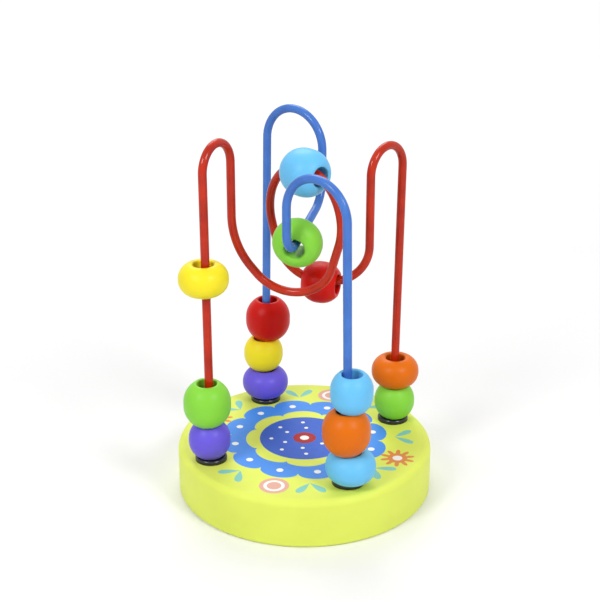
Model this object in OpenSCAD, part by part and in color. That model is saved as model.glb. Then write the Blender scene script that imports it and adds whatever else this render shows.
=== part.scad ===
// Bead maze: a round wooden base, two bent wires in black collars, and fourteen loose wooden beads.
// The origin is the centre of the base's underside. The red wire's feet stand along X.

/* [Base] */
// Diameter of the base
base_d = 110; // [100:1:130]
// Height of the base
base_h = 21.5; // [18:0.5:30]
// Rounding of the base's top edge
base_top_round = 3; // [1:0.5:5]
// Rounding of the base's bottom edge
base_bottom_round = 1.5; // [0.5:0.5:3]

/* [Collars] */
// Diameter of a collar's flange
collar_d = 13.5; // [11:0.5:16]
// Height of a collar's flange above the base
collar_h = 2; // [1.5:0.1:3.5]
// Rounding of a flange's top edge
collar_round = 1; // [0.4:0.1:1.4]
// Diameter of a collar's stem in the base
collar_stem_d = 7; // [5.5:0.5:9]
// Length of a collar's stem in the base
collar_stem = 8; // [5:0.5:10]

/* [Wires] */
// Diameter of both wires with their coating
wire_d = 3.6; // [3:0.1:4]
// Depth of a wire's end below the top of the base
wire_seat = 14; // [11:0.5:16]
// Distance of the red feet from the base's edge
red_inset = 11.2; // [9:0.1:13]
// Distance of the blue feet from the base's edge
blue_inset = 12.5; // [10:0.1:15]
// Angle between the line of the red feet and the line of the blue feet
blue_turn = 89.6; // [80:0.2:100]
// Turn of the tops of the blue legs from the line of their feet
blue_twist = 2.8; // [0:0.2:5]
// Outward lean of the left leg's top
left_lean = 0.6; // [0:0.1:2]
// Outward lean of the right leg's top
right_lean = 1.5; // [0:0.1:3]

/* [Red wire, humps] */
// Rise of the left hump above the base
left_hump_rise = 136; // [126:1:150]
// Rise of the right hump above the base
right_hump_rise = 129; // [120:1:145]
// Reach of the left hump towards the middle
left_hump_reach = 16.3; // [14:0.1:19]
// Sideways step of the left hump, away from the viewer
left_hump_step = 12; // [6:0.5:14]
// Reach of the right hump towards the middle
right_hump_reach = 18.3; // [15:0.1:21]
// Sideways step of the right hump, towards the viewer
right_hump_step = 9; // [6:0.5:13]

/* [Red wire, loop] */
// Radius of the loop's crown
loop_r = 21.2; // [19:0.1:23]
// Rise of the loop's crown above the base
loop_rise = 123; // [116:0.5:130]
// Angle of the loop's plane from the line of the red feet
loop_turn = -72; // [-85:1:-60]
// Lean of the loop's sides towards its middle
loop_lean = 20; // [12:0.5:22]
// Height above the base at which the left drop's run starts to turn forward
left_run_rise = 90.5; // [84:0.5:96]
// Radius of the bend below the left drop
left_run_r = 36; // [28:0.5:38]
// Height above the base at which the front run meets the loop's front side
front_run_rise = 49.5; // [46:0.5:56]
// Radius of the front lower bend
front_run_r = 18.5; // [15:0.5:20]
// Height above the base at which the loop's rear side meets the rear run
rear_run_rise = 70.5; // [66:0.5:74]
// Radius of the rear lower bend
rear_run_r = 21.5; // [18:0.5:23]
// Height above the base at which the rear run meets the right drop
right_run_rise = 72.5; // [68:0.5:78]
// Radius of the bend below the right drop
right_run_r = 16.5; // [13:0.5:18]

/* [Blue wire] */
// Rise of the back hump above the base
back_hump_rise = 139.5; // [130:0.5:150]
// Rise of the front hump above the base
front_hump_rise = 127.5; // [120:0.5:140]
// Distance between the two inner drops
drop_span = 43; // [38:0.5:48]
// Angle of the line through the two drops from the line of the red feet
drop_turn = 45; // [38:1:52]
// Height above the base of the dip's rear corner
dip_rear_rise = 103.5; // [98:0.5:110]
// Height above the base of the dip's front corner
dip_front_rise = 91; // [86:0.5:96]
// Radius of the dip's rear bend
dip_rear_r = 12; // [9:0.5:14]
// Radius of the dip's front bend
dip_front_r = 8; // [6:0.5:10]

/* [Beads] */
// Diameter of a wide bead
wide_d = 20.8; // [19:0.1:22]
// Length of a wide bead
wide_len = 13; // [12:0.1:15]
// Diameter of a wide bead's ends
wide_end_d = 12; // [11:0.1:14]
// Length of the straight belt round a wide bead
wide_belt = 0.6; // [0.4:0.1:2]
// Diameter of an oval bead
oval_d = 19.9; // [18:0.1:21]
// Length of an oval bead
oval_len = 18.6; // [17:0.1:20]
// Diameter of an oval bead's ends
oval_end_d = 10.6; // [10:0.1:12]
// Length of the straight belt round an oval bead
oval_belt = 2; // [1.8:0.1:4]
// Diameter of a small bead
small_d = 17.7; // [16:0.1:19]
// Length of a small bead
small_len = 14.8; // [13:0.1:15]
// Diameter of a small bead's ends
small_end_d = 10.8; // [10:0.1:12]
// Length of the straight belt round a small bead
small_belt = 1.2; // [1:0.1:3]
// Diameter of a barrel bead
barrel_d = 17.4; // [16:0.1:19]
// Length of a barrel bead
barrel_len = 15.9; // [15:0.1:17]
// Diameter of a barrel bead's ends
barrel_end_d = 11; // [10.5:0.1:12]
// Length of the straight belt round a barrel bead
barrel_belt = 2.6; // [2.4:0.1:5]
// Diameter of every bead's bore
bore_d = 8.4; // [7.6:0.1:9]
// Height of the single bead on the left leg above the base
lone_bead_rise = 81.5; // [60:0.5:95]
// Place of the loop's lower bead, as an angle along the rear lower bend
rear_bead_turn = 71; // [40:1:72]
// Place of the dip's bead, as a distance from the dip's front corner
dip_bead_reach = 13; // [12:0.5:20]

/* [Hidden] */
// Smoothness of every round shape
$fn = 64;
// Overrun of every cut
overrun = 1;
// Gap between beads that rest on each other
rest_gap = 0.1;
// Least gap between a bead's bore and its wire
bore_gap = 0.3;
// Rounding of a bore's mouths, as a share of the flat ring round them
mouth_share = 0.5;
// Most of a run between two corners that their bends take up
bends_share = 0.996;
// How much thicker a wire is in a bend than in a straight run
bend_swell = 0.02;
// How far a straight run carries on inside the bend that follows it
bend_lap = 0.2;

// Each kind of bead as its diameter, its length, the diameter of its ends and the length of its belt
wide = [wide_d, wide_len, wide_end_d, wide_belt];
oval = [oval_d, oval_len, oval_end_d, oval_belt];
small = [small_d, small_len, small_end_d, small_belt];
barrel = [barrel_d, barrel_len, barrel_end_d, barrel_belt];
// How far a bead can hang off its wire's centre
play = (bore_d - wire_d - bend_swell) / 2 - bore_gap;

// Feet of the two wires, on the top of the base
red_foot = base_d / 2 - red_inset;
blue_foot = base_d / 2 - blue_inset;
left_foot = [-red_foot, 0, base_h];
right_foot = [red_foot, 0, base_h];
back_foot = [blue_foot * cos(blue_turn), blue_foot * sin(blue_turn), base_h];
front_foot = [-back_foot.x, -back_foot.y, base_h];
// Height on which the lowest bead of each stack rests
seat_h = base_h + collar_h;

function unit(v) = v / norm(v);
function up(rise) = [0, 0, rise];

// Each leg as its foot and its top, where the hump begins
back_top = [blue_foot * cos(blue_turn - blue_twist), blue_foot * sin(blue_turn - blue_twist), base_h];
left_leg = [left_foot, left_foot + [-left_lean, 0, left_hump_rise]];
right_leg = [right_foot, right_foot + [right_lean, 0, right_hump_rise]];
back_leg = [back_foot, back_top + up(back_hump_rise)];
front_leg = [front_foot, [-back_top.x, -back_top.y, base_h + front_hump_rise]];
legs = [left_leg, right_leg, back_leg, front_leg];
// Middle of a leg at a height
function leg_at(leg, height) = leg[0] + (leg[1] - leg[0]) * (height - leg[0].z) / (leg[1].z - leg[0].z);
function leg_end(leg) = leg_at(leg, base_h - wire_seat);

// The loop's plane runs along its heading, through the middle of the base
loop_heading = [cos(loop_turn), sin(loop_turn), 0];
loop_corner = loop_r / tan((90 - loop_lean) / 2);
function loop_side(rise) = loop_heading * (loop_corner - (loop_rise - rise) * tan(loop_lean));

left_drop = left_foot + [left_hump_reach, left_hump_step, 0];
right_drop = right_foot - [right_hump_reach, right_hump_step, 0];
back_drop = [cos(drop_turn), sin(drop_turn), 0] * drop_span / 2 + up(base_h);
front_drop = [-back_drop.x, -back_drop.y, base_h];
left_hump_r = norm(left_drop + up(left_hump_rise) - left_leg[1]) / 2;
right_hump_r = norm(right_drop + up(right_hump_rise) - right_leg[1]) / 2;
back_hump_r = norm(back_drop + up(back_hump_rise) - back_leg[1]) / 2;
front_hump_r = norm(front_drop + up(front_hump_rise) - front_leg[1]) / 2;

// Corners of each wire's path from end to end, and the bend at each corner between the ends
red_path = [
    leg_end(left_leg),
    left_leg[1],
    left_drop + up(left_hump_rise),
    left_drop + up(left_run_rise),
    loop_side(front_run_rise) + up(base_h + front_run_rise),
    loop_side(loop_rise) + up(base_h + loop_rise),
    -loop_side(loop_rise) + up(base_h + loop_rise),
    -loop_side(rear_run_rise) + up(base_h + rear_run_rise),
    right_drop + up(right_run_rise),
    right_drop + up(right_hump_rise),
    right_leg[1],
    leg_end(right_leg)
];
red_bends = [
    left_hump_r, left_hump_r, left_run_r, front_run_r, loop_r,
    loop_r, rear_run_r, right_run_r, right_hump_r, right_hump_r
];
loop_crown_corner = 5;
rear_run_corner = 7;

blue_path = [
    leg_end(back_leg),
    back_leg[1],
    back_drop + up(back_hump_rise),
    back_drop + up(dip_rear_rise),
    front_drop + up(dip_front_rise),
    front_drop + up(front_hump_rise),
    front_leg[1],
    leg_end(front_leg)
];
blue_bends = [back_hump_r, back_hump_r, dip_rear_r, dip_front_r, front_hump_r, front_hump_r];
dip_rear_corner = 3;
dip_front_corner = 4;

// Stacks of beads from the collar upwards
left_stack = [small, oval];
right_stack = [small, wide];
back_stack = [wide, small, oval];
front_stack = [wide, oval, barrel];

// Sideways hang of each bead on a leg, as shares of its play along X and Y
left_hang_shares = [[-0.18, 0.09], [-0.47, 0.07], [-0.1, 0.92]];
right_hang_shares = [[0.13, -0.17], [0.22, 0.18]];
back_hang_shares = [[-0.02, 0.24], [-0.21, 0.91], [0.69, 0.62]];
front_hang_shares = [[0.15, -0.92], [-0.65, -0.67], [0.48, -0.8]];
// Hang of the loop's upper bead below its wire, as a share of its play
crown_hang_share = 0.95;
// Hang of the loop's lower bead below its wire, as a share of its play
rear_hang_share = 0.25;
// Slew of the loop's lower bead on its wire, towards the viewer
rear_bead_slew = 7;
// Hang of the dip's bead below its wire, as a share of its play
dip_hang_share = 0.42;
// Slew of the dip's bead to the left of its wire, and its nod below the wire's slope
dip_bead_slew = 7;
dip_bead_nod = 9;

// Turn of a path at one of its corners
function turn_at(path, i) = acos(unit(path[i] - path[i - 1]) * unit(path[i + 1] - path[i]));
function is_end(path, i) = i == 0 || i == len(path) - 1;
// Run that a bend of the full radius takes on each side of its corner
function full_setback(path, bends, i) = is_end(path, i) ? 0 : bends[i - 1] * tan(turn_at(path, i) / 2);
// How far the bends at the two ends of a run shrink so that both fit on it
function run_fit(path, bends, i) =
    min(1, bends_share * norm(path[i + 1] - path[i])
        / (full_setback(path, bends, i) + full_setback(path, bends, i + 1)));
function bend_fit(path, bends, i) = min(run_fit(path, bends, i - 1), run_fit(path, bends, i));
function bend_r(path, bends, i) = bends[i - 1] * bend_fit(path, bends, i);
function setback(path, bends, i) =
    is_end(path, i) ? 0 : full_setback(path, bends, i) * bend_fit(path, bends, i);

// Frame of a bend: its origin is the bend's centre, X points to the bend's start and Z is its axis
function bend_centre(path, bends, i) =
    path[i] + unit(unit(path[i - 1] - path[i]) + unit(path[i + 1] - path[i]))
        * bend_r(path, bends, i) / cos(turn_at(path, i) / 2);
function bend_x(path, bends, i) =
    unit(path[i] + unit(path[i - 1] - path[i]) * setback(path, bends, i) - bend_centre(path, bends, i));
function bend_z(path, i) = unit(cross(path[i] - path[i - 1], path[i + 1] - path[i]));
function frame_of(x, z, at) = let (y = cross(z, x)) [
    [x.x, y.x, z.x, at.x],
    [x.y, y.y, z.y, at.y],
    [x.z, y.z, z.z, at.z],
    [0, 0, 0, 1]
];

// What lies outside a rounded corner of a profile, with the rounding's centre at the origin
module corner_cut(r) {
    difference() {
        square(r + overrun);
        circle(r);
    }
}

module straight_run(from, to) {
    along = to - from;
    translate(from)
        rotate([0, acos(along.z / norm(along)), atan2(along.y, along.x)])
            cylinder(d = wire_d, h = norm(along));
}

module at_bend(path, bends, i) {
    multmatrix(frame_of(bend_x(path, bends, i), bend_z(path, i), bend_centre(path, bends, i)))
        children();
}

module bend(path, bends, i) {
    at_bend(path, bends, i)
        rotate_extrude(angle = turn_at(path, i))
            translate([bend_r(path, bends, i), 0])
                circle(d = wire_d + bend_swell);
}

// Distance from a corner to the end of the straight run beside it
function run_start(path, bends, i) = is_end(path, i) ? 0 : setback(path, bends, i) - bend_lap;

// A wire along its path: straight runs between the bends
module bent_wire(path, bends) {
    for (i = [0 : len(path) - 2]) {
        along = unit(path[i + 1] - path[i]);
        straight_run(
            path[i] + along * run_start(path, bends, i),
            path[i + 1] - along * run_start(path, bends, i + 1)
        );
    }
    for (i = [1 : len(path) - 2])
        bend(path, bends, i);
}

module base_profile() {
    difference() {
        square([base_d / 2, base_h]);
        translate([base_d / 2 - base_top_round, base_h - base_top_round])
            corner_cut(base_top_round);
        translate([base_d / 2 - base_bottom_round, base_bottom_round])
            mirror([0, 1])
                corner_cut(base_bottom_round);
    }
}

// A solid turned disc with a stepped blind hole under each collar
module base() {
    color("#e2ee66")
        difference() {
            rotate_extrude()
                base_profile();
            for (leg = legs) {
                translate(leg[0] - up(collar_stem))
                    cylinder(d = collar_stem_d, h = collar_stem + overrun);
                straight_run(leg_end(leg), leg[0]);
            }
        }
}

// A flange that rests on the base, and a stem in the base's hole, bored for the wire
module collar(leg) {
    color("#1a1b22")
        difference() {
            translate(leg[0])
                rotate_extrude()
                    difference() {
                        polygon([
                            [0, -collar_stem], [collar_stem_d / 2, -collar_stem], [collar_stem_d / 2, 0],
                            [collar_d / 2, 0], [collar_d / 2, collar_h], [0, collar_h]
                        ]);
                        translate([collar_d / 2 - collar_round, collar_h - collar_round])
                            corner_cut(collar_round);
                    }
            straight_run(leg_end(leg), leg_at(leg, seat_h + overrun));
        }
}

module collar_left() collar(left_leg);
module collar_right() collar(right_leg);
module collar_back() collar(back_leg);
module collar_front() collar(front_leg);

module red_wire() color("#c23c25") bent_wire(red_path, red_bends);
module blue_wire() color("#4f80d0") bent_wire(blue_path, blue_bends);

// A bead round its own Z axis: a crowned side with a belt, flat ends and a bore with rounded mouths
module bead(kind) {
    r = kind[0] / 2;
    half = kind[1] / 2;
    end_r = kind[2] / 2;
    half_belt = kind[3] / 2;
    crown_rise = half - half_belt;
    crown_in = r - end_r;
    crown = (crown_rise * crown_rise + crown_in * crown_in) / (2 * crown_in);
    mouth_round = mouth_share * (end_r - bore_d / 2);
    rotate_extrude()
        difference() {
            translate([bore_d / 2, -half])
                square([r - bore_d / 2, 2 * half]);
            for (end = [0, 1])
                mirror([0, end]) {
                    translate([r - crown, half_belt])
                        corner_cut(crown);
                    translate([bore_d / 2 + mouth_round, half - mouth_round])
                        mirror([1, 0])
                            corner_cut(mouth_round);
                }
        }
}

// Height of the middle of a bead in a stack
function level(stack, i) =
    i == 0 ? seat_h + rest_gap + stack[0][1] / 2
    : level(stack, i - 1) + stack[i - 1][1] / 2 + rest_gap + stack[i][1] / 2;

module bead_on_leg(kind, leg, height, hang_shares) {
    translate(leg_at(leg, height) + play * [hang_shares.x, hang_shares.y, 0])
        bead(kind);
}

module stacked_bead(stack, i, leg, hang_shares) {
    bead_on_leg(stack[i], leg, level(stack, i), hang_shares[i]);
}

// A bead on a bend, at an angle along it and set off the wire away from the bend's centre
module bead_on_bend(kind, path, bends, i, angle, hang, slew) {
    at_bend(path, bends, i)
        rotate([0, 0, angle])
            translate([bend_r(path, bends, i) + hang, 0, 0])
                rotate([slew, 0, 0])
                    rotate([-90, 0, 0])
                        bead(kind);
}

module left_small_bead() color("#7165e3") stacked_bead(left_stack, 0, left_leg, left_hang_shares);
module left_oval_bead() color("#86d848") stacked_bead(left_stack, 1, left_leg, left_hang_shares);
module left_wide_bead() {
    color("#f6ea36")
        bead_on_leg(wide, left_leg, base_h + lone_bead_rise, left_hang_shares[2]);
}
module right_small_bead() color("#86d848") stacked_bead(right_stack, 0, right_leg, right_hang_shares);
module right_wide_bead() color("#e0711a") stacked_bead(right_stack, 1, right_leg, right_hang_shares);
module back_wide_bead() color("#7165e3") stacked_bead(back_stack, 0, back_leg, back_hang_shares);
module back_small_bead() color("#f6ea36") stacked_bead(back_stack, 1, back_leg, back_hang_shares);
module back_oval_bead() color("#b3180d") stacked_bead(back_stack, 2, back_leg, back_hang_shares);
module front_wide_bead() color("#73cbf9") stacked_bead(front_stack, 0, front_leg, front_hang_shares);
module front_oval_bead() color("#e0711a") stacked_bead(front_stack, 1, front_leg, front_hang_shares);
module front_barrel_bead() color("#73cbf9") stacked_bead(front_stack, 2, front_leg, front_hang_shares);

// Hangs from the crown of the loop
module loop_oval_bead() {
    color("#73cbf9")
        bead_on_bend(
            oval, red_path, red_bends, loop_crown_corner, turn_at(red_path, loop_crown_corner),
            -play * crown_hang_share, 0
        );
}

// Hangs at the bottom of the loop's rear run
module loop_small_bead() {
    color("#b3180d")
        bead_on_bend(
            small, red_path, red_bends, rear_run_corner, rear_bead_turn,
            play * rear_hang_share, rear_bead_slew
        );
}

// Hangs on the dip's slope, against the front bend
module dip_wide_bead() {
    corner = blue_path[dip_front_corner];
    along = unit(blue_path[dip_rear_corner] - corner);
    left = unit([-along.y, along.x, 0]);
    color("#86d848")
        multmatrix(frame_of(along, left, corner + along * dip_bead_reach))
            translate([0, play * dip_hang_share, 0])
                rotate([0, -dip_bead_slew, dip_bead_nod])
                    rotate([0, 90, 0])
                        bead(wide);
}

base();
collar_left();
collar_right();
collar_back();
collar_front();
red_wire();
blue_wire();
left_small_bead();
left_oval_bead();
left_wide_bead();
right_small_bead();
right_wide_bead();
back_wide_bead();
back_small_bead();
back_oval_bead();
front_wide_bead();
front_oval_bead();
front_barrel_bead();
loop_oval_bead();
loop_small_bead();
dip_wide_bead();
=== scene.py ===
import math

import bpy
from mathutils import Matrix, Vector
from mathutils.geometry import delaunay_2d_cdt


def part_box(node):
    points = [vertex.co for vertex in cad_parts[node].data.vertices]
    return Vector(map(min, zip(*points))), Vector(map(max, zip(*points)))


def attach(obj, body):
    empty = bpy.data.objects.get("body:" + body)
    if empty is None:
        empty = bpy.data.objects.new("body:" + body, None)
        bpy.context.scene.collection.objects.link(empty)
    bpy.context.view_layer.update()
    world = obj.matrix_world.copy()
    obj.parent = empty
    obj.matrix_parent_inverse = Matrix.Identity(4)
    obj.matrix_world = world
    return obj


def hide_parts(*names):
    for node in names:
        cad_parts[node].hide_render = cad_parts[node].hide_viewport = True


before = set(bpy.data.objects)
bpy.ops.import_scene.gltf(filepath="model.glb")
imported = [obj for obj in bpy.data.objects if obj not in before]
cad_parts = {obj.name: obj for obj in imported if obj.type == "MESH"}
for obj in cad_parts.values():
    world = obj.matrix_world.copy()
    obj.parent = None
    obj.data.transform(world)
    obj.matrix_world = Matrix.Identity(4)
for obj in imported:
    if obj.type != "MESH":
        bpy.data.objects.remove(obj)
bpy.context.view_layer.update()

# Base: a turned disc of beech or MDF, sprayed with lime lacquer and printed on top.
# Its edges are rounded before painting, and four stepped holes take the collars and the wires.

MM = 0.001
BASE_R = 55 * MM
BASE_H = 21.5 * MM
BASE_TOP_ROUND = 3 * MM
BASE_BOTTOM_ROUND = 1.5 * MM
STEM_R = 3.5 * MM
STEM_DEPTH = 8 * MM
WIRE_R = 1.8 * MM
WIRE_SEAT = 14 * MM
RED_FOOT = 43.8 * MM
BLUE_FOOT = 42.5 * MM
BLUE_TURN = math.radians(89.6)
BASE_STEPS = 288
HOLE_STEPS = 48
TOP_ROUND_STEPS = 14
BOTTOM_ROUND_STEPS = 8
FEET = {
    "left": Vector((-RED_FOOT, 0, BASE_H)),
    "right": Vector((RED_FOOT, 0, BASE_H)),
    "back": Vector((BLUE_FOOT * math.cos(BLUE_TURN), BLUE_FOOT * math.sin(BLUE_TURN), BASE_H)),
    "front": Vector((-BLUE_FOOT * math.cos(BLUE_TURN), -BLUE_FOOT * math.sin(BLUE_TURN), BASE_H)),
}
COAT_DRIFT = 15 * MM
PEEL = 1.4 * MM
PEEL_DEPTH = 0.05 * MM
# Nearly all the values of a noise lie between these two
NOISE_LOW = 0.3
NOISE_HIGH = 0.7


def linear(hex_colour):
    """An sRGB hex colour as linear RGBA."""
    parts = [int(hex_colour[i:i + 2], 16) / 255 for i in (1, 3, 5)]
    return [c / 12.92 if c <= 0.04045 else ((c + 0.055) / 1.055) ** 2.4 for c in parts] + [1.0]


def add(tree, kind, settings=(), **inputs):
    """Adds a node with its settings. An input, by name or as i and its number, takes a value or a link."""
    node = tree.nodes.new(kind)
    for key, value in dict(settings).items():
        setattr(node, key, value)
    for key, value in inputs.items():
        numbered = key[0] == "i" and key[1:].isdigit()
        socket = node.inputs[int(key[1:]) if numbered else key.replace("_", " ")]
        if isinstance(value, bpy.types.NodeSocket):
            tree.links.new(value, socket)
        else:
            socket.default_value = value
    return node


def finish_named(name):
    """A new material, its node tree and its shader."""
    material = bpy.data.materials.new(name)
    material.use_nodes = True
    return material, material.node_tree, material.node_tree.nodes["Principled BSDF"]


def lacquer(name, colour, rough=0.38, ink=None):
    """Sprayed or tumbled paint on wood: even colour, a satin gloss and the faint orange peel of its coat."""
    material, tree, shader = finish_named(name)
    place = add(tree, "ShaderNodeTexCoord").outputs["Object"]
    # The coat's thickness drifts over about 15 mm. The peel is drawn at 1.4 mm, coarser than life, to show
    drift = add(tree, "ShaderNodeTexNoise", Vector=place, Scale=1 / COAT_DRIFT, Detail=2.0)
    peel = add(tree, "ShaderNodeTexNoise", Vector=place, Scale=1 / PEEL, Detail=1.0)
    shade = add(
        tree, "ShaderNodeMapRange", Value=drift.outputs["Fac"],
        From_Min=NOISE_LOW, From_Max=NOISE_HIGH, To_Min=0.975, To_Max=1.02,
    )
    coat = add(tree, "ShaderNodeHueSaturation", Value=shade.outputs["Result"])
    if ink:
        inks = add(tree, "ShaderNodeAttribute", {"attribute_name": ink})
        tree.links.new(inks.outputs["Color"], coat.inputs["Color"])
    else:
        coat.inputs["Color"].default_value = linear(colour)
    tree.links.new(coat.outputs["Color"], shader.inputs["Base Color"])
    gloss = add(
        tree, "ShaderNodeMapRange", Value=peel.outputs["Fac"],
        From_Min=NOISE_LOW, From_Max=NOISE_HIGH, To_Min=rough - 0.04, To_Max=rough + 0.05,
    )
    tree.links.new(gloss.outputs["Result"], shader.inputs["Roughness"])
    bump = add(tree, "ShaderNodeBump", Strength=0.12, Distance=PEEL_DEPTH, Height=peel.outputs["Fac"])
    tree.links.new(bump.outputs["Normal"], shader.inputs["Normal"])
    # Lower than a hard lacquer's 1.5, so that the satin colours stay as deep as the real ones
    shader.inputs["IOR"].default_value = 1.28
    return material


def arc(cx, cz, r, start, end, steps):
    """Points of a profile's rounding as (radius, height), from one angle to another."""
    turns = [math.radians(start + (end - start) * i / steps) for i in range(steps + 1)]
    return [(cx + r * math.cos(t), cz + r * math.sin(t)) for t in turns]


def ring(r, z, steps, centre=(0, 0)):
    """Points of a level circle."""
    turns = [2 * math.pi * i / steps for i in range(steps)]
    return [(centre[0] + r * math.cos(t), centre[1] + r * math.sin(t), z) for t in turns]


def skin(first, second, steps):
    """Quads between two rings that start at these indices, facing out where the second lies above."""
    return [(first + i, first + (i + 1) % steps, second + (i + 1) % steps, second + i) for i in range(steps)]


def put(name, data):
    """A new object at the origin that holds this data."""
    obj = bpy.data.objects.new(name, data)
    bpy.context.scene.collection.objects.link(obj)
    return obj


def finished(name, verts, faces, material, sharp=40):
    """A mesh object, smooth except where its faces meet at a sharp edge, in degrees."""
    mesh = bpy.data.meshes.new(name)
    mesh.from_pydata(verts, [], faces)
    mesh.validate()
    mesh.polygons.foreach_set("use_smooth", [True] * len(mesh.polygons))
    mesh.set_sharp_from_angle(angle=math.radians(sharp))
    mesh.materials.append(material)
    return put(name, mesh)


LIME = "#dce861"
INKS = {
    "blue": "#4a8fe6", "deep": "#3a62c4", "white": "#f2f2ec", "tan": "#dd8a48",
    "pink": "#dda998", "teal": "#82c8bb", "maroon": "#a4201f", "lime": LIME,
}

# The print, in millimetres and degrees from the middle of the top: a flower, suns, rings and loose petals.
# Scalloped layers of the flower: ink, reach, depth of the lobes and their number
FLOWER = [("blue", 36.5, 4.5, 12), ("lime", 25.5, 3, 8)]
# Round layers: ink, radius and steps
FLOWER_HEART = [("deep", 19.5, 72)]
FLOWER_CENTRE = [("maroon", 5, 40), ("white", 2, 24)]
SUN = [("tan", 4.2, 36), ("white", 2.1, 24)]
RING = [("pink", 6.2, 44), ("white", 4.4, 36), ("pink", 3, 28)]
# Circles of white dots on the flower: number, reach, first heading, radius of a dot and its steps
DOTS = [(12, 30.5, 15, 1.5, 20), (8, 14.5, 22.5, 0.9, 16), (6, 9.3, 0, 0.9, 16)]
BORDER_REACH = 43.5
SUN_HEADINGS = (-50, 130)
RING_HEADINGS = (-132, 48)
RAYS = 10
RAY_LENGTH = 7.4
RAY_WIDTH = 2.6
PETAL_REACH = 39.5
PETAL_HEADINGS = (-158, -112, -68, -24, 22, 68, 112, 158)
PETAL_SPREAD = 38
PETAL_LENGTH = 9.5
PETAL_WIDTH = 4.6


def disc(x, y, r, steps):
    """The outline of a round shape."""
    turns = [2 * math.pi * i / steps for i in range(steps)]
    return [(x + r * math.cos(t), y + r * math.sin(t)) for t in turns]


def rounds(layers, x=0, y=0):
    """Round layers on one middle, each as its outline and ink."""
    return [(disc(x, y, r, steps), ink) for ink, r, steps in layers]


def rosette(r, depth, lobes, steps=24):
    """The outline of a ring of round lobes, with some steps for each."""
    points = []
    for i in range(lobes * steps):
        t = 2 * math.pi * i / (lobes * steps)
        reach = r - depth + depth * math.sqrt(abs(math.sin(lobes * t / 2)))
        points.append((reach * math.cos(t), reach * math.sin(t)))
    return points


def petal(x, y, length, width, heading, steps=36, taper=1.4):
    """The outline of a drop with its point at x, y and its round end out along the heading."""
    c, s = math.cos(math.radians(heading)), math.sin(math.radians(heading))
    points = []
    for i in range(steps):
        t = 2 * math.pi * i / steps
        along = length * (1 - math.cos(t)) / 2
        across = width / 2 * math.sin(t) * math.sin(t / 2) ** taper
        points.append((x + along * c - across * s, y + along * s + across * c))
    return points


def polar(reach, heading):
    """The point of the print at a reach and a heading."""
    return reach * math.cos(math.radians(heading)), reach * math.sin(math.radians(heading))


# Each shape of the print covers the ones before it
prints = [(rosette(*sizes), ink) for ink, *sizes in FLOWER]
prints += rounds(FLOWER_HEART)
for count, reach, first, r, steps in DOTS:
    prints += [(disc(*polar(reach, first + 360 / count * k), r, steps), "white") for k in range(count)]
prints += rounds(FLOWER_CENTRE)
for heading in SUN_HEADINGS:
    x, y = polar(BORDER_REACH, heading)
    prints += [(petal(x, y, RAY_LENGTH, RAY_WIDTH, heading + 360 / RAYS * k), "tan") for k in range(RAYS)]
    prints += rounds(SUN, x, y)
for heading in RING_HEADINGS:
    prints += rounds(RING, *polar(BORDER_REACH, heading))
for heading in PETAL_HEADINGS:
    x, y = polar(PETAL_REACH, heading)
    for spread in (-PETAL_SPREAD, PETAL_SPREAD):
        prints.append((petal(x, y, PETAL_LENGTH, PETAL_WIDTH, heading + spread), "teal"))

verts = []
faces = []
rows = arc(BASE_R - BASE_BOTTOM_ROUND, BASE_BOTTOM_ROUND, BASE_BOTTOM_ROUND, -90, 0, BOTTOM_ROUND_STEPS)
rows += arc(BASE_R - BASE_TOP_ROUND, BASE_H - BASE_TOP_ROUND, BASE_TOP_ROUND, 0, 90, TOP_ROUND_STEPS)
for r, z in rows:
    verts += ring(r, z, BASE_STEPS)
for k in range(len(rows) - 1):
    faces += skin(k * BASE_STEPS, (k + 1) * BASE_STEPS, BASE_STEPS)
faces.append(tuple(reversed(range(BASE_STEPS))))
edge_start = (len(rows) - 1) * BASE_STEPS

# The flat top is cut along the outlines of the print and round the holes, so that each ink ends crisply.
# Points nearer than the tolerance, in metres, are taken as one
CUT_TOLERANCE = 1e-8
outlines = [[v[:2] for v in verts[edge_start:]]]
outlines += [[p[:2] for p in ring(STEM_R, 0, HOLE_STEPS, foot[:2])] for foot in FEET.values()]
outlines += [[(x * MM, y * MM) for x, y in shape] for shape, ink in prints]
flat_points = []
edges = []
for outline in outlines:
    loop = range(len(flat_points), len(flat_points) + len(outline))
    flat_points += [Vector(p) for p in outline]
    edges += [(loop[i - 1], loop[i]) for i in range(len(loop))]
cut_points, _, cut_faces, *_ = delaunay_2d_cdt(flat_points, edges, [], 0, CUT_TOLERANCE)


def inside(point, shape):
    """Whether a point lies within a closed outline."""
    hit = False
    for (ax, ay), (bx, by) in zip(shape, shape[1:] + shape[:1]):
        if (ay > point[1]) != (by > point[1]) and point[0] < (bx - ax) * (point[1] - ay) / (by - ay) + ax:
            hit = not hit
    return hit


# A face whose middle is nearer to a foot than this lies in its hole
IN_HOLE = STEM_R * 0.999
inked = {}
top_start = len(verts)
verts += [(p.x, p.y, BASE_H) for p in cut_points]
for face in cut_faces:
    middle = [sum(cut_points[i][axis] for i in face) / len(face) for axis in (0, 1)]
    if any((Vector(middle) - foot.to_2d()).length < IN_HOLE for foot in FEET.values()):
        continue
    if math.hypot(*middle) > BASE_R - BASE_TOP_ROUND:
        continue
    inked[len(faces)] = "lime"
    for shape, ink in prints:
        if inside((middle[0] / MM, middle[1] / MM), shape):
            inked[len(faces)] = ink
    faces.append(tuple(top_start + i for i in face))

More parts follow.
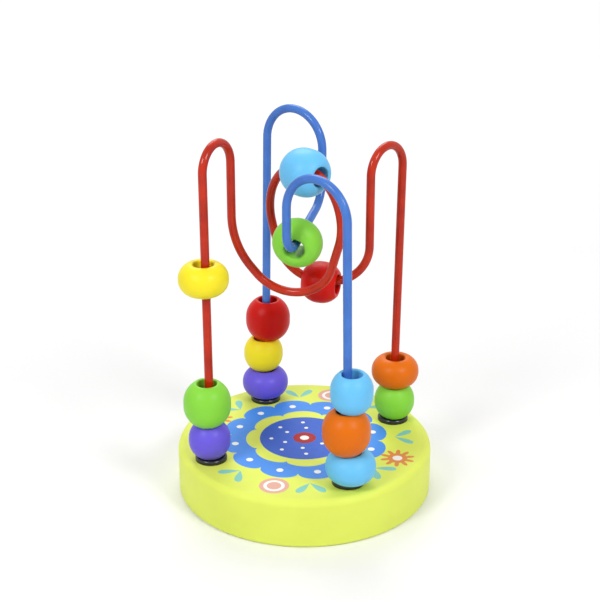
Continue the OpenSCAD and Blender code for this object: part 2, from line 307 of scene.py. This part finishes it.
hole_rows = ((STEM_R, 0), (STEM_R, -STEM_DEPTH), (WIRE_R, -STEM_DEPTH), (WIRE_R, -WIRE_SEAT))
for foot in FEET.values():
    start = len(verts)
    for r, z in hole_rows:
        verts += ring(r, BASE_H + z, HOLE_STEPS, foot[:2])
    for k in range(len(hole_rows) - 1):
        faces += skin(start + k * HOLE_STEPS, start + (k + 1) * HOLE_STEPS, HOLE_STEPS)
    faces.append(tuple(range(len(verts) - HOLE_STEPS, len(verts))))

base = finished("printed_base", verts, faces, lacquer("lime_lacquer_on_wood", LIME, rough=0.48, ink="ink"))
ink_layer = base.data.color_attributes.new("ink", "FLOAT_COLOR", "CORNER")
for polygon in base.data.polygons:
    colour = linear(INKS[inked.get(polygon.index, "lime")])
    for corner in polygon.loop_indices:
        ink_layer.data[corner].color = colour
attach(base, "frame")
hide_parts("base")

# Collars: moulded black collars, pressed into the base, that hold each wire's foot upright.
# The flange is a flat ring with a rounded, glossy edge that catches a thin highlight.

COLLAR_R = 6.75 * MM
COLLAR_H = 2 * MM
COLLAR_ROUND = 1.0 * MM
COLLAR_STEPS = 96
COLLAR_ROUND_STEPS = 10
COLLAR_DARK = "#15161c"
COLLAR_PALE = "#1f2129"
HAZE = 4 * MM


def turned(profile, steps, place):
    """Points and faces of a closed (radius, height) profile, anticlockwise, turned round a place's Z axis."""
    points = [place @ Vector(p) for r, z in profile for p in ring(r, z, steps)]
    quads = []
    for k in range(len(profile)):
        quads += skin(k * steps, (k + 1) % len(profile) * steps, steps)
    return points, quads


# Moulded gloss with handling haze in patches of about 4 mm, a little paler and duller
black, tree, shader = finish_named("moulded_black_plastic")
place = add(tree, "ShaderNodeTexCoord").outputs["Object"]
haze = add(tree, "ShaderNodeTexNoise", Vector=place, Scale=1 / HAZE, Detail=3.0)
gloss = add(
    tree, "ShaderNodeMapRange", Value=haze.outputs["Fac"],
    From_Min=NOISE_LOW, From_Max=NOISE_HIGH, To_Min=0.16, To_Max=0.28,
)
tree.links.new(gloss.outputs["Result"], shader.inputs["Roughness"])
# A Mix node's colours are its inputs 6 and 7 and its output 2
tone = add(
    tree, "ShaderNodeMix", {"data_type": "RGBA"},
    i0=haze.outputs["Fac"], i6=linear(COLLAR_DARK), i7=linear(COLLAR_PALE),
)
tree.links.new(tone.outputs[2], shader.inputs["Base Color"])
shader.inputs["IOR"].default_value = 1.5

collar_profile = [
    (WIRE_R, COLLAR_H), (WIRE_R, -STEM_DEPTH), (STEM_R, -STEM_DEPTH), (STEM_R, 0), (COLLAR_R, 0),
]
collar_profile += arc(
    COLLAR_R - COLLAR_ROUND, COLLAR_H - COLLAR_ROUND, COLLAR_ROUND, 0, 90, COLLAR_ROUND_STEPS
)
for side, foot in FEET.items():
    points, quads = turned(collar_profile, COLLAR_STEPS, Matrix.Translation(foot))
    collar = finished("collar_%s_moulded" % side, points, quads, black)
    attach(collar, "frame")
    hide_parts("collar_" + side)

# Wires: steel wire with a coat of coloured enamel, 3.6 mm thick in all, bent on a jig.
# Each runs from one foot to the opposite one in straight runs and round bends.
# Its ends are pressed through the collars into the base.

LEFT_LEAN = 0.6 * MM
LEFT_HUMP_RISE = 136 * MM
LEFT_HUMP_REACH = 16.3 * MM
LEFT_HUMP_STEP = 12 * MM
RIGHT_LEAN = 1.5 * MM
RIGHT_HUMP_RISE = 129 * MM
RIGHT_HUMP_REACH = 18.3 * MM
RIGHT_HUMP_STEP = 9 * MM
LOOP_R = 21.2 * MM
LOOP_RISE = 123 * MM
LOOP_TURN = -72
LOOP_LEAN = math.radians(20)
LOOP_CORNER = LOOP_R / math.tan((math.pi / 2 - LOOP_LEAN) / 2)
LEFT_RUN_RISE = 90.5 * MM
LEFT_RUN_R = 36 * MM
FRONT_RUN_RISE = 49.5 * MM
FRONT_RUN_R = 18.5 * MM
REAR_RUN_RISE = 70.5 * MM
REAR_RUN_R = 21.5 * MM
RIGHT_RUN_RISE = 72.5 * MM
RIGHT_RUN_R = 16.5 * MM
BLUE_TOP_TURN = 86.8
BACK_HUMP_RISE = 139.5 * MM
FRONT_HUMP_RISE = 127.5 * MM
DROP_SPAN = 43 * MM
DROP_TURN = 45
DIP_REAR_RISE = 103.5 * MM
DIP_REAR_R = 12 * MM
DIP_FRONT_RISE = 91 * MM
DIP_FRONT_R = 8 * MM
# Two bends on one run take at most this share of it
BENDS_SHARE = 0.996
BEND_STEPS = 36
WIRE_SIDES = 28
FILM_DRIFT = 9 * MM
RIPPLE = 1.2 * MM
RIPPLE_DEPTH = 0.03 * MM


def rise(height):
    """The point on the middle axis at a height above the base's top."""
    return Vector((0, 0, BASE_H + height))


def heading_of(degrees):
    """A level direction, from its angle to the X axis."""
    return Vector((math.cos(math.radians(degrees)), math.sin(math.radians(degrees)), 0))


def loop_side(height):
    """How far the loop's side stands from the middle axis at a height: the sides lean together downwards."""
    return heading_of(LOOP_TURN) * (LOOP_CORNER - (LOOP_RISE - height) * math.tan(LOOP_LEAN))


def leg_end(side, top):
    """The end of a leg, below its foot in the base."""
    foot = FEET[side]
    return foot - (top - foot) * WIRE_SEAT / (top - foot).z


# The legs lean a little: the red ones outwards, and the blue ones round the middle
blue_top = heading_of(BLUE_TOP_TURN) * BLUE_FOOT
left_top = FEET["left"] + Vector((-LEFT_LEAN, 0, LEFT_HUMP_RISE))
right_top = FEET["right"] + Vector((RIGHT_LEAN, 0, RIGHT_HUMP_RISE))
back_top = rise(BACK_HUMP_RISE) + blue_top
front_top = rise(FRONT_HUMP_RISE) - blue_top
left_drop = Vector((LEFT_HUMP_REACH - RED_FOOT, LEFT_HUMP_STEP, 0))
right_drop = Vector((RED_FOOT - RIGHT_HUMP_REACH, -RIGHT_HUMP_STEP, 0))
back_drop = heading_of(DROP_TURN) * DROP_SPAN / 2
front_drop = -back_drop
left_hump_r = (left_drop + rise(LEFT_HUMP_RISE) - left_top).length / 2
right_hump_r = (right_drop + rise(RIGHT_HUMP_RISE) - right_top).length / 2
back_hump_r = (back_drop + rise(BACK_HUMP_RISE) - back_top).length / 2
front_hump_r = (front_drop + rise(FRONT_HUMP_RISE) - front_top).length / 2

# Each path's corners, and the radius of the bend at each corner between its ends
red_path = [
    leg_end("left", left_top), left_top,
    left_drop + rise(LEFT_HUMP_RISE), left_drop + rise(LEFT_RUN_RISE),
    rise(FRONT_RUN_RISE) + loop_side(FRONT_RUN_RISE), rise(LOOP_RISE) + loop_side(LOOP_RISE),
    rise(LOOP_RISE) - loop_side(LOOP_RISE), rise(REAR_RUN_RISE) - loop_side(REAR_RUN_RISE),
    right_drop + rise(RIGHT_RUN_RISE), right_drop + rise(RIGHT_HUMP_RISE),
    right_top, leg_end("right", right_top),
]
red_bends = [
    left_hump_r, left_hump_r, LEFT_RUN_R, FRONT_RUN_R, LOOP_R,
    LOOP_R, REAR_RUN_R, RIGHT_RUN_R, right_hump_r, right_hump_r,
]
blue_path = [
    leg_end("back", back_top), back_top,
    back_drop + rise(BACK_HUMP_RISE), back_drop + rise(DIP_REAR_RISE),
    front_drop + rise(DIP_FRONT_RISE), front_drop + rise(FRONT_HUMP_RISE),
    front_top, leg_end("front", front_top),
]
blue_bends = [back_hump_r, back_hump_r, DIP_REAR_R, DIP_FRONT_R, front_hump_r, front_hump_r]


def turn_at(path, i):
    """How far a path turns at a corner, in radians."""
    return (path[i] - path[i - 1]).angle(path[i + 1] - path[i])


def setback(path, bends, i):
    """How far a bend reaches along the runs on each side of its corner."""
    return bends[i - 1] * math.tan(turn_at(path, i) / 2) if 0 < i < len(path) - 1 else 0


def bend_r(path, bends, i):
    """A bend's radius, shrunk where two bends share too short a run."""
    fits = [
        BENDS_SHARE * (path[k + 1] - path[k]).length / (setback(path, bends, k) + setback(path, bends, k + 1))
        for k in (i - 1, i)
    ]
    return bends[i - 1] * min(1, *fits)


bent_wire = bpy.data.node_groups.new("bent_wire", "GeometryNodeTree")
bent_wire.is_modifier = True
sockets = bent_wire.interface
sockets.new_socket("Path", in_out="INPUT", socket_type="NodeSocketGeometry")
radius_id = sockets.new_socket("Wire radius", in_out="INPUT", socket_type="NodeSocketFloat").identifier
steps_id = sockets.new_socket("Steps in a bend", in_out="INPUT", socket_type="NodeSocketInt").identifier
sides_id = sockets.new_socket("Sides of the wire", in_out="INPUT", socket_type="NodeSocketInt").identifier
finish_id = sockets.new_socket("Finish", in_out="INPUT", socket_type="NodeSocketMaterial").identifier
sockets.new_socket("Wire", in_out="OUTPUT", socket_type="NodeSocketGeometry")
given = add(bent_wire, "NodeGroupInput").outputs
line = add(bent_wire, "GeometryNodeMeshToCurve", Mesh=given["Path"])
radii = add(bent_wire, "GeometryNodeInputNamedAttribute", {"data_type": "FLOAT"}, Name="bend_radius")
bent = add(
    bent_wire, "GeometryNodeFilletCurve", {"mode": "POLY"}, Curve=line.outputs["Curve"],
    Count=given["Steps in a bend"], Radius=radii.outputs["Attribute"],
)
section = add(
    bent_wire, "GeometryNodeCurvePrimitiveCircle",
    Resolution=given["Sides of the wire"], Radius=given["Wire radius"],
)
drawn = add(
    bent_wire, "GeometryNodeCurveToMesh",
    Curve=bent.outputs["Curve"], Profile_Curve=section.outputs["Curve"], Fill_Caps=True,
)
smooth = add(bent_wire, "GeometryNodeSetShadeSmooth", Geometry=drawn.outputs["Mesh"])
real = add(bent_wire, "GeometryNodeRealizeInstances", Geometry=smooth.outputs["Geometry"])
coated = add(
    bent_wire, "GeometryNodeSetMaterial", Geometry=real.outputs["Geometry"], Material=given["Finish"]
)
add(bent_wire, "NodeGroupOutput", Wire=coated.outputs["Geometry"])


def enamel(name, colour, deep):
    """Dipped enamel on steel: hard gloss, and a slightly uneven film that darkens where it runs thick."""
    material, tree, shader = finish_named(name)
    place = add(tree, "ShaderNodeTexCoord").outputs["Object"]
    # The film's thickness drifts over about 9 mm. Ripples of the dip are drawn at 1.2 mm, coarser than life
    film = add(tree, "ShaderNodeTexNoise", Vector=place, Scale=1 / FILM_DRIFT, Detail=2.0)
    ripple = add(tree, "ShaderNodeTexNoise", Vector=place, Scale=1 / RIPPLE, Detail=1.0)
    thick = add(
        tree, "ShaderNodeMapRange", Value=film.outputs["Fac"],
        From_Min=0.35, From_Max=NOISE_HIGH, To_Min=0.0, To_Max=0.6,
    )
    hue = add(
        tree, "ShaderNodeMix", {"data_type": "RGBA"},
        i0=thick.outputs["Result"], i6=linear(colour), i7=linear(deep),
    )
    tree.links.new(hue.outputs[2], shader.inputs["Base Color"])
    sheen = add(
        tree, "ShaderNodeMapRange", Value=film.outputs["Fac"],
        From_Min=NOISE_LOW, From_Max=NOISE_HIGH, To_Min=0.18, To_Max=0.26,
    )
    tree.links.new(sheen.outputs["Result"], shader.inputs["Roughness"])
    relief = add(tree, "ShaderNodeBump", Strength=0.03, Distance=RIPPLE_DEPTH, Height=ripple.outputs["Fac"])
    tree.links.new(relief.outputs["Normal"], shader.inputs["Normal"])
    # The coat gives the streaks of light, and the colour under it reflects little of its own
    shader.inputs["IOR"].default_value = 1.1
    shader.inputs["Coat Weight"].default_value = 0.5
    shader.inputs["Coat Roughness"].default_value = 0.13
    return material


def wire(name, path, bends, material):
    """A wire bent along a path, as a plain mesh that rides on the frame."""
    mesh = bpy.data.meshes.new(name)
    mesh.from_pydata(path, [(i, i + 1) for i in range(len(path) - 1)], [])
    radius = mesh.attributes.new("bend_radius", "FLOAT", "POINT")
    for i in range(1, len(path) - 1):
        radius.data[i].value = bend_r(path, bends, i)
    obj = put(name, mesh)
    shape = obj.modifiers.new("bent_wire", "NODES")
    shape.node_group = bent_wire
    shape[radius_id] = WIRE_R
    shape[steps_id] = BEND_STEPS
    shape[sides_id] = WIRE_SIDES
    shape[finish_id] = material
    bpy.context.view_layer.update()
    made = bpy.data.meshes.new_from_object(obj.evaluated_get(bpy.context.evaluated_depsgraph_get()))
    obj.modifiers.remove(shape)
    obj.data = made
    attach(obj, "frame")
    return obj


red = wire("red_bent_wire", red_path, red_bends, enamel("red_enamel_on_steel", "#be2a09", "#971805"))
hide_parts("red_wire")
blue = wire("blue_bent_wire", blue_path, blue_bends, enamel("blue_enamel_on_steel", "#4577c8", "#3663b2"))
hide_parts("blue_wire")

# Beads: turned beech beads, drilled, rounded at the mouths of the bores and tumbled in paint.
# There are four shapes: wide, oval, small and barrel. Each hangs loosely on its wire.

BORE_R = 4.2 * MM
MOUTH_SHARE = 0.5
BEAD_STEPS = 96
CROWN_STEPS = 24
MOUTH_STEPS = 8
# Each shape as its diameter, its length, the diameter of its ends and the length of its straight belt
SHAPES = {
    "wide": (20.8 * MM, 13 * MM, 12 * MM, 0.6 * MM),
    "oval": (19.9 * MM, 18.6 * MM, 10.6 * MM, 2 * MM),
    "small": (17.7 * MM, 14.8 * MM, 10.8 * MM, 1.2 * MM),
    "barrel": (17.4 * MM, 15.9 * MM, 11 * MM, 2.6 * MM),
}
PAINTS = {
    "purple": "#6858d6", "green": "#84d040", "yellow": "#efdd26",
    "orange": "#d96a02", "red": "#cb0c01", "sky": "#69bdec",
}
# How far a bead's axis can stand off its wire's, and the share of it that each hanging bead takes
PLAY = 2.09 * MM
CROWN_HANG_SHARE = 0.95
REAR_HANG_SHARE = 0.25
DIP_HANG_SHARE = 0.42
# Corners of the paths that carry a bead, and its turn along the bend, slew and nod there in degrees
LOOP_CROWN_CORNER = 5
REAR_RUN_CORNER = 7
DIP_REAR_CORNER = 3
DIP_FRONT_CORNER = 4
REAR_BEAD_TURN = 71
REAR_BEAD_SLEW = 7
DIP_BEAD_SLEW = 7
DIP_BEAD_NOD = 9
DIP_BEAD_REACH = 13 * MM


def bead_profile(d, length, end_d, belt):
    """The section of a bead: crowned side with a belt, narrow flat ends, rounded mouths and the bore."""
    crown_rise, crown_in = (length - belt) / 2, (d - end_d) / 2
    crown = (crown_rise ** 2 + crown_in ** 2) / (2 * crown_in)
    tip = math.degrees(math.asin(crown_rise / crown))
    mouth = MOUTH_SHARE * (end_d / 2 - BORE_R)
    points = arc(d / 2 - crown, -belt / 2, crown, -tip, 0, CROWN_STEPS)
    points += arc(d / 2 - crown, belt / 2, crown, 0, tip, CROWN_STEPS)
    points += arc(BORE_R + mouth, length / 2 - mouth, mouth, 90, 180, MOUTH_STEPS)
    points += arc(BORE_R + mouth, mouth - length / 2, mouth, 180, 270, MOUTH_STEPS)
    return points


def bend_place(path, bends, i):
    """The frame of a bend: its centre, X to the bend's start, Z along its axis. Its radius comes second."""
    before, after = (path[i - 1] - path[i]).normalized(), (path[i + 1] - path[i]).normalized()
    r = bend_r(path, bends, i)
    half = turn_at(path, i) / 2
    centre = path[i] + (before + after).normalized() * r / math.cos(half)
    x = (path[i] + before * r * math.tan(half) - centre).normalized()
    z = after.cross(before).normalized()
    return Matrix.Translation(centre) @ Matrix((x, z.cross(x), z)).transposed().to_4x4(), r


def turn(degrees, axis):
    """A turn round one axis."""
    return Matrix.Rotation(math.radians(degrees), 4, axis)


def on_leg(node):
    """The place of a bead that stands upright on a leg: the middle of its CAD node."""
    low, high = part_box(node)
    return Matrix.Translation((Vector(low) + Vector(high)) / 2)


def on_bend(path, bends, i, angle, hang, slew):
    """A bead's place on a bend: an angle along it, off the wire by its hang, and slewed."""
    at, r = bend_place(path, bends, i)
    return at @ turn(angle, "Z") @ Matrix.Translation((r + hang, 0, 0)) @ turn(slew, "X") @ turn(-90, "X")


def on_dip():
    """The dip's bead hangs on the slope, a little slewed and nodding against the front bend."""
    front = blue_path[DIP_FRONT_CORNER]
    along = (blue_path[DIP_REAR_CORNER] - front).normalized()
    side = Vector((-along.y, along.x, 0)).normalized()
    axes = Matrix((along, side.cross(along), side)).transposed().to_4x4()
    hang = Matrix.Translation((0, PLAY * DIP_HANG_SHARE, 0))
    at = Matrix.Translation(front + along * DIP_BEAD_REACH) @ axes @ hang
    return at @ turn(DIP_BEAD_NOD, "Z") @ turn(-DIP_BEAD_SLEW, "Y") @ turn(90, "Y")


paints = {paint: lacquer(paint + "_lacquer_on_beech", colour) for paint, colour in PAINTS.items()}
# The loop's bead is at the top of the crown, where the bend at its first corner ends
crown_turn = math.degrees(turn_at(red_path, LOOP_CROWN_CORNER))
hung = {
    "loop_oval": on_bend(red_path, red_bends, LOOP_CROWN_CORNER, crown_turn, -PLAY * CROWN_HANG_SHARE, 0),
    "loop_small": on_bend(
        red_path, red_bends, REAR_RUN_CORNER, REAR_BEAD_TURN, PLAY * REAR_HANG_SHARE, REAR_BEAD_SLEW
    ),
    "dip_wide": on_dip(),
}
# Each bead as where it is, its shape and its paint, with the stacks on the legs from the base up
beads = [
    ("left", "small", "purple"), ("left", "oval", "green"), ("left", "wide", "yellow"),
    ("right", "small", "green"), ("right", "wide", "orange"),
    ("back", "wide", "purple"), ("back", "small", "yellow"), ("back", "oval", "red"),
    ("front", "wide", "sky"), ("front", "oval", "orange"), ("front", "barrel", "sky"),
    ("loop", "oval", "sky"), ("loop", "small", "red"), ("dip", "wide", "green"),
]
for spot, shape, paint in beads:
    body = "%s_%s" % (spot, shape)
    place = hung[body] if body in hung else on_leg(body + "_bead")
    points, quads = turned(bead_profile(*SHAPES[shape]), BEAD_STEPS, place)
    bead = finished(body + "_turned_bead", points, quads, paints[paint], sharp=60)
    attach(bead, body)
    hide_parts(body + "_bead")

# Stage: a sheet of white paper under the part, with two soft boxes beside the camera and a larger one behind.
# It is no part of the object. The camera stands where the photograph was taken from.

FLOOR_REACH = 3.0
PAPER = "#e8e8e8"
WHITE = "#ffffff"
# The paper's glow rises from low to full between these two distances from the middle, in metres
GLOW_NEAR = 0.35
GLOW_FAR = 1.6
GLOW_LOW = 0.06
GLOW_FULL = 0.67
FILL_LEVEL = 0.45
WHITE_LEVEL = 1.0
BOX_AIM = Vector((0, 0, 0.08))
LENS = 84.89
SENSOR = 36
CLIP_START = 0.01
VIEW_TURN = math.radians(-25.11)
VIEW_RISE = math.radians(22.5)
VIEW_AIM = Vector((0.714, 6.169, 84.219)) * MM
VIEW_DISTANCE = 0.6


def shown_rays(tree):
    """1 for camera, transmission and glossy rays, which show the background, and 0 for rays of light."""
    rays = add(tree, "ShaderNodeLightPath").outputs
    seen = add(
        tree, "ShaderNodeMath", {"operation": "MAXIMUM"},
        i0=rays["Is Camera Ray"], i1=rays["Is Transmission Ray"],
    )
    shown = add(
        tree, "ShaderNodeMath", {"operation": "MAXIMUM"}, i0=seen.outputs["Value"], i1=rays["Is Glossy Ray"]
    )
    return shown.outputs["Value"]


# Matt paper. It glows further out, where the boxes no longer reach, and so stays white there.
# Near the part it hardly glows, and so keeps the shadow
paper, tree, shader = finish_named("white_paper")
shader.inputs["Base Color"].default_value = linear(PAPER)
shader.inputs["Roughness"].default_value = 0.9
place = add(tree, "ShaderNodeTexCoord").outputs["Object"]
far = add(tree, "ShaderNodeVectorMath", {"operation": "LENGTH"}, i0=place)
glow = add(
    tree, "ShaderNodeMapRange", Value=far.outputs["Value"],
    From_Min=GLOW_NEAR, From_Max=GLOW_FAR, To_Min=GLOW_LOW, To_Max=GLOW_FULL,
)
lift = add(
    tree, "ShaderNodeMath", {"operation": "MULTIPLY"}, i0=shown_rays(tree), i1=glow.outputs["Result"]
)
tree.links.new(lift.outputs["Value"], shader.inputs["Emission Strength"])
shader.inputs["Emission Color"].default_value = linear(WHITE)

floor_mesh = bpy.data.meshes.new("floor")
corners = [(x * FLOOR_REACH, y * FLOOR_REACH, 0) for x, y in ((-1, -1), (1, -1), (1, 1), (-1, 1))]
floor_mesh.from_pydata(corners, [], [(0, 1, 2, 3)])
floor_mesh.materials.append(paper)
floor = put("floor", floor_mesh)

# White to the camera and in reflections, dimmer as fill light
world = bpy.data.worlds.new("studio")
bpy.context.scene.world = world
world.use_nodes = True
tree = world.node_tree
level = add(tree, "ShaderNodeMapRange", Value=shown_rays(tree), To_Min=FILL_LEVEL, To_Max=WHITE_LEVEL)
backdrop = tree.nodes["Background"]
backdrop.inputs["Color"].default_value = linear(WHITE)
tree.links.new(level.outputs["Result"], backdrop.inputs["Strength"])


def softbox(name, place, size, power):
    """A round soft box at a place, aimed at the middle of the part, in metres and watts."""
    lamp = bpy.data.lights.new(name, "AREA")
    lamp.shape = "DISK"
    lamp.size = size
    lamp.energy = power
    obj = put(name, lamp)
    obj.location = place
    obj.rotation_euler = (BOX_AIM - Vector(place)).to_track_quat("-Z", "Y").to_euler()


softbox("right_box", (0.24, -0.75, 0.72), size=0.36, power=4.5)
softbox("left_box", (-0.73, -0.3, 0.72), size=0.36, power=4.2)
softbox("back_box", (0.2, 0.62, 0.85), size=0.7, power=4.6)

camera_data = bpy.data.cameras.new("camera")
camera_data.lens = LENS
camera_data.sensor_width = SENSOR
camera_data.clip_start = CLIP_START
camera = put("camera", camera_data)
view_right = Vector((math.cos(VIEW_TURN), math.sin(VIEW_TURN), 0))
view_level = Vector((math.sin(VIEW_TURN), -math.cos(VIEW_TURN), 0))
view_back = view_level * math.cos(VIEW_RISE) + Vector((0, 0, math.sin(VIEW_RISE)))
turned_to = Matrix((view_right, view_back.cross(view_right), view_back)).transposed().to_4x4()
camera.matrix_world = Matrix.Translation(VIEW_AIM + view_back * VIEW_DISTANCE) @ turned_to
bpy.context.scene.camera = camera
bpy.context.scene.view_settings.view_transform = "Standard"
